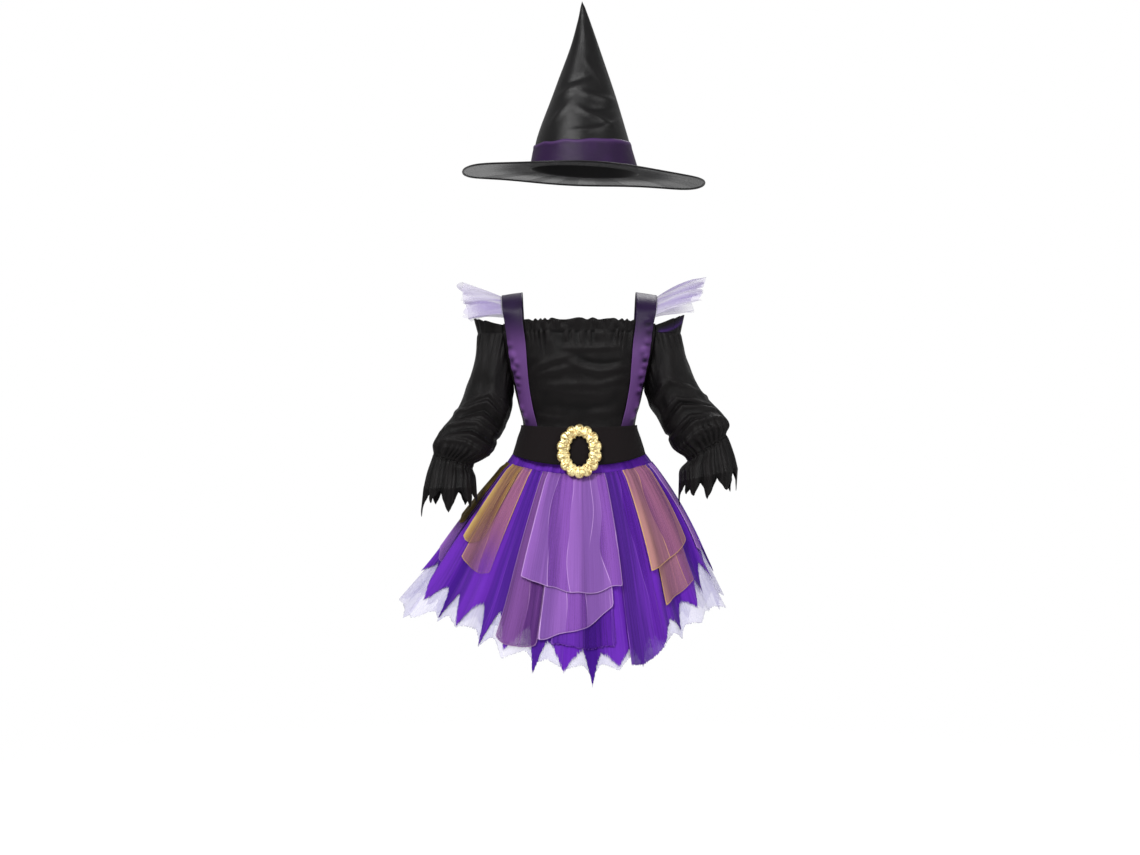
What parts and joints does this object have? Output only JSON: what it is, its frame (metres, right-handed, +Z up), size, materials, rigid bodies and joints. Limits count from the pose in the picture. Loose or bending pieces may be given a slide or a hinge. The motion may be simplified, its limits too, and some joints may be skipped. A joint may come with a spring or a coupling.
{
  "type": "witch costume",
  "caption": "Child's witch costume as worn: pointed hat with wide brim, off-shoulder dress with straps, puffed sleeves, belt with oval buckle and layered tulle skirt.",
  "frame": {"origin": "between the tops of the two shoulder straps, where the wearer's shoulders hold the dress", "axes": "+Z up, the front faces -Y, +X is to the right of a viewer in front"},
  "size_m": [0.5574, 0.4011, 1.1146],
  "materials": {
    "black_satin": "shiny woven satin with soft creases",
    "purple_band": "dark purple satin",
    "sheer_black": "sheer stiffened cloth with a wired edge",
    "black_jersey": "matte stretch knit",
    "purple_satin": "satin ribbon, shiny",
    "black_elastic": "matte ribbed elastic",
    "violet_tulle": "soft tulle over organza",
    "lilac_tulle": "sheer soft tulle",
    "mauve_tulle": "sheer soft tulle",
    "copper_tulle": "sheer soft tulle",
    "gold_tulle": "sheer soft tulle",
    "olive_tulle": "sheer soft tulle",
    "pale_net": "pale sheer net",
    "buckle_gold": "moulded plastic with a gold metal coat"
  },
  "bodies": {
    "root": {"hat_cone": "black_satin", "hat_band": "purple_band", "hat_brim": "sheer_black", "bodice_front": "black_jersey", "bodice_back": "black_jersey", "sleeve_left": "black_jersey", "sleeve_right": "black_jersey", "cuff_left": "black_jersey", "cuff_right": "black_jersey", "neck_frill_left": "black_jersey", "neck_frill_right": "black_jersey", "strap_left": "purple_satin", "strap_right": "purple_satin", "shoulder_net_left": "pale_net", "shoulder_net_right": "pale_net", "belt": "black_elastic", "buckle": "buckle_gold", "waistband": "violet_tulle", "skirt_front": "violet_tulle", "skirt_back": "violet_tulle", "petticoat_front": "pale_net", "petticoat_back": "pale_net", "panel_lilac_front": "lilac_tulle", "panel_lilac_lower": "lilac_tulle", "panel_mauve_front": "mauve_tulle", "panel_violet_front": "violet_tulle", "panel_violet_right": "violet_tulle", "panel_copper_lower": "copper_tulle", "panel_copper_upper": "copper_tulle", "panel_lilac_right": "lilac_tulle", "panel_copper_left": "copper_tulle", "panel_gold_left": "gold_tulle", "panel_lilac_left": "lilac_tulle", "panel_olive_left": "olive_tulle", "panel_copper_back_right": "copper_tulle", "panel_mauve_back": "mauve_tulle", "panel_violet_back": "violet_tulle", "panel_lilac_back": "lilac_tulle", "panel_gold_back": "gold_tulle", "panel_lilac_back_left": "lilac_tulle"}
  },
  "joints": []
}
